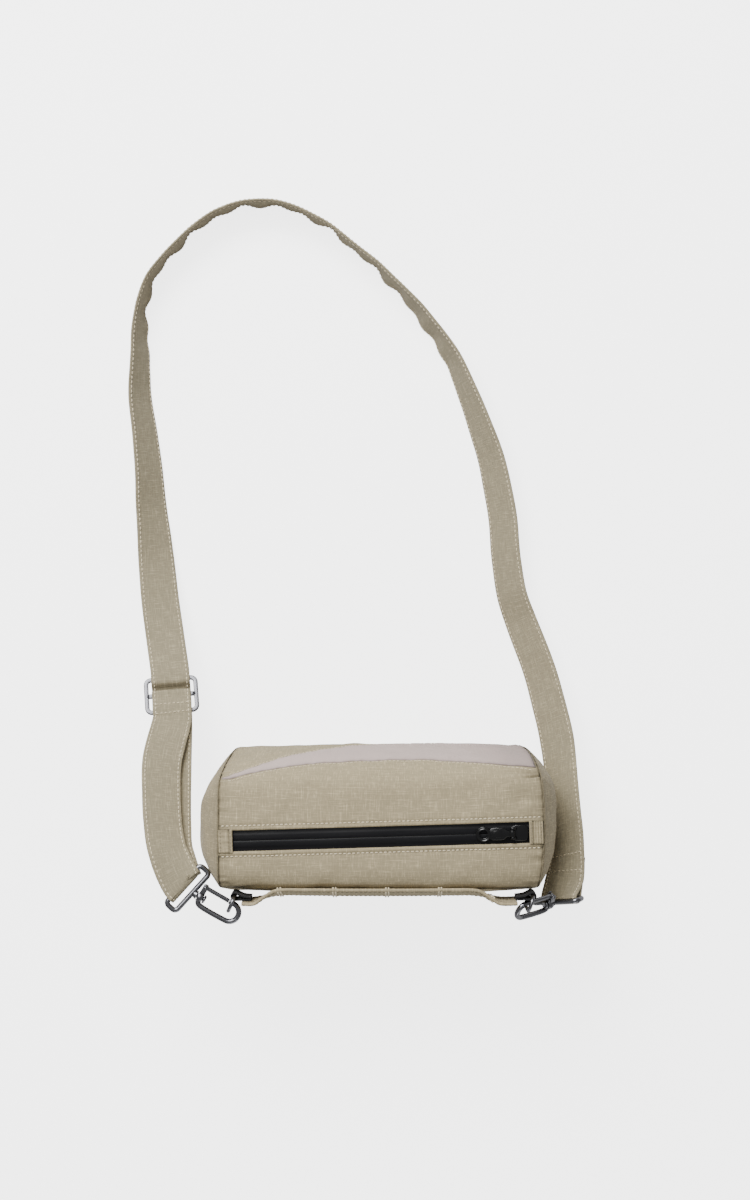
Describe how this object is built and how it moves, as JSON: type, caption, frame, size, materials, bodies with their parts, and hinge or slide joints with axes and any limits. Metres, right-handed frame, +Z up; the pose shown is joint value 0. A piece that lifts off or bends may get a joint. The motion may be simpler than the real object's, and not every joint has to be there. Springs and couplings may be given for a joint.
{
  "type": "belt bag",
  "caption": "Small boxy cloth belt bag with a top zip, a diagonal wedge on its front and an adjustable strap clipped to rings on a back band; it stands on its base, strap laid round in front.",
  "frame": {"origin": "middle of the flat base, on the surface that the bag stands on", "axes": "+Z up through the zip face, +Y out of the front with the wedge, +X to the right-hand end; the strap lies on the same surface towards +Y"},
  "size_m": [0.2967, 0.4615, 0.1207],
  "materials": {
    "cloth": "plain ripstop cloth with a fine square grid",
    "stripe_cloth": "smooth pale grey-lilac cloth",
    "zip_cloth": "black zip tape with a smooth coating",
    "webbing": "black webbing",
    "gunmetal": "dark polished metal",
    "nickel": "bright polished metal",
    "black_metal": "gloss black"
  },
  "bodies": {
    "root": {"body_wrap": "cloth", "gusset_left": "cloth", "gusset_right": "cloth", "zip_tape_front": "zip_cloth", "zip_tape_back": "zip_cloth", "zip_patch_left": "cloth", "zip_patch_right": "cloth", "zip_slider": "black_metal", "front_stripe": "stripe_cloth", "strap_loop_left": "gunmetal", "d_ring_left": "gunmetal", "strap_loop_right": "gunmetal", "d_ring_right": "gunmetal", "back_band": "cloth", "ring_tab_left": "webbing", "ring_tab_right": "webbing", "adjuster": "nickel", "strap": "cloth"},
    "hook_left": {"hook_left": "gunmetal"},
    "gate_left": {"gate_left": "gunmetal"},
    "hook_right": {"hook_right": "gunmetal"},
    "gate_right": {"gate_right": "gunmetal"},
    "zip_puller": {"zip_puller": "black_metal"}
  },
  "joints": [
    {"name": "hook_left_swivel", "type": "hinge", "parent": "root", "child": "hook_left", "pos_m": [-0.11336, -0.03894, 0.1055], "axis": [0.8658, -0.5004, 0], "range_deg": [-20, 20]},
    {"name": "gate_left_hinge", "type": "hinge", "parent": "hook_left", "child": "gate_left", "pos_m": [-0.10533, -0.03584, 0.1055], "axis": [0, 0, -1], "range_deg": [0, 22], "stiffness_Nm_per_rad": 0.02, "springref_deg": -20.05},
    {"name": "hook_right_swivel", "type": "hinge", "parent": "root", "child": "hook_right", "pos_m": [0.10879, -0.04754, 0.08771], "axis": [-0.8004, -0.1301, 0.5853], "range_deg": [-4, 2]},
    {"name": "gate_right_hinge", "type": "hinge", "parent": "hook_right", "child": "gate_right", "pos_m": [0.10603, -0.04266, 0.09423], "axis": [0.5529, -0.5377, 0.6366], "range_deg": [0, 22], "stiffness_Nm_per_rad": 0.02, "springref_deg": -20.05},
    {"name": "zip_puller_hinge", "type": "hinge", "parent": "root", "child": "zip_puller", "pos_m": [0.08007, -0.00131, 0.11897], "axis": [-0.0291, 0.9996, 0], "range_deg": [0, 150]}
  ]
}
